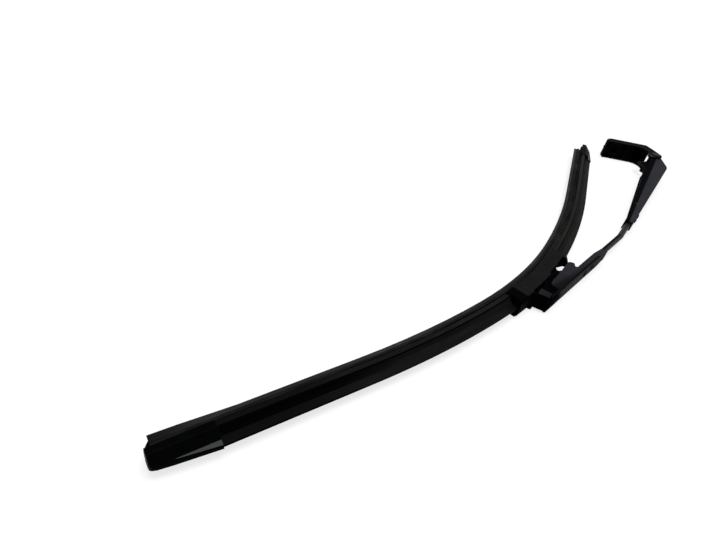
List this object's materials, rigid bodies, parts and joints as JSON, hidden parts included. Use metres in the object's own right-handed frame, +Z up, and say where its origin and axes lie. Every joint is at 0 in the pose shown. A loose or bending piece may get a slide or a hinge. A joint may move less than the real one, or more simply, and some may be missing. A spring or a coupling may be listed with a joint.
{
  "type": "wiper arm with blade",
  "caption": "Flat-beam windscreen wiper blade with rubber edge and spoiler, pinned to a sprung sheet-steel arm whose folding head takes the drive spindle, shown lying on its side.",
  "frame": {"origin": "mouth of the spindle seat under the arm head, on its axis and in the middle plane of the arm", "axes": "+X along the arm from the hinge to the blade, +Y to the arm's outer side away from the glass, +Z up and across the blade, parallel to every hinge axis, with the object lying on its side"},
  "size_m": [0.7544, 0.1567, 0.0262],
  "materials": {
    "head_casting": "black painted die casting",
    "painted_sheet": "satin black paint on steel",
    "pin_steel": "darkened steel",
    "spring_steel": "phosphated spring steel",
    "bracket_metal": "black coated metal",
    "connector_plastic": "moulded black plastic",
    "cap_plastic": "moulded black plastic",
    "cover_plastic": "moulded black plastic",
    "bush_plastic": "grey bearing plastic",
    "wiping_rubber": "graphited black rubber",
    "spoiler_rubber": "matte black soft profile"
  },
  "bodies": {
    "head": {"arm_head": "head_casting", "hinge_pin": "pin_steel", "cross_pin": "pin_steel", "nut_cover": "cover_plastic"},
    "arm": {"arm_channel": "painted_sheet", "hinge_bush_upper": "bush_plastic", "hinge_bush_lower": "bush_plastic", "arm_rod": "painted_sheet", "channel_rivets": "painted_sheet", "arm_tip": "painted_sheet", "tip_rivets": "painted_sheet", "adapter": "connector_plastic", "tension_spring": "spring_steel", "spring_anchor": "pin_steel"},
    "link": {"spring_link": "spring_steel"},
    "blade": {"rubber_element": "wiping_rubber", "rail_upper": "spring_steel", "rail_lower": "spring_steel", "spoiler_near": "spoiler_rubber", "spoiler_far": "spoiler_rubber", "end_cap_near": "cap_plastic", "end_cap_far": "cap_plastic", "base_cover": "cap_plastic", "base_bracket": "bracket_metal", "pivot_pin": "pin_steel"}
  },
  "joints": [
    {"name": "arm_hinge", "type": "hinge", "parent": "head", "child": "arm", "pos_m": [-0.01137, 0.05109, 0], "axis": [0, 0, 1], "range_deg": [0, 172], "stiffness_Nm_per_rad": 0.8},
    {"name": "link_swing", "type": "hinge", "parent": "head", "child": "link", "pos_m": [-0.00122, 0.04739, 0], "axis": [0, 0, 1], "range_deg": [0, 172]},
    {"name": "blade_pivot", "type": "hinge", "parent": "arm", "child": "blade", "pos_m": [0.38488, 0.0432, 0], "axis": [0, 0, 1], "range_deg": [-8, 8]}
  ],
  "couplings": [
    {"joint": "link_swing", "follows": "arm_hinge", "ratio": 1}
  ]
}
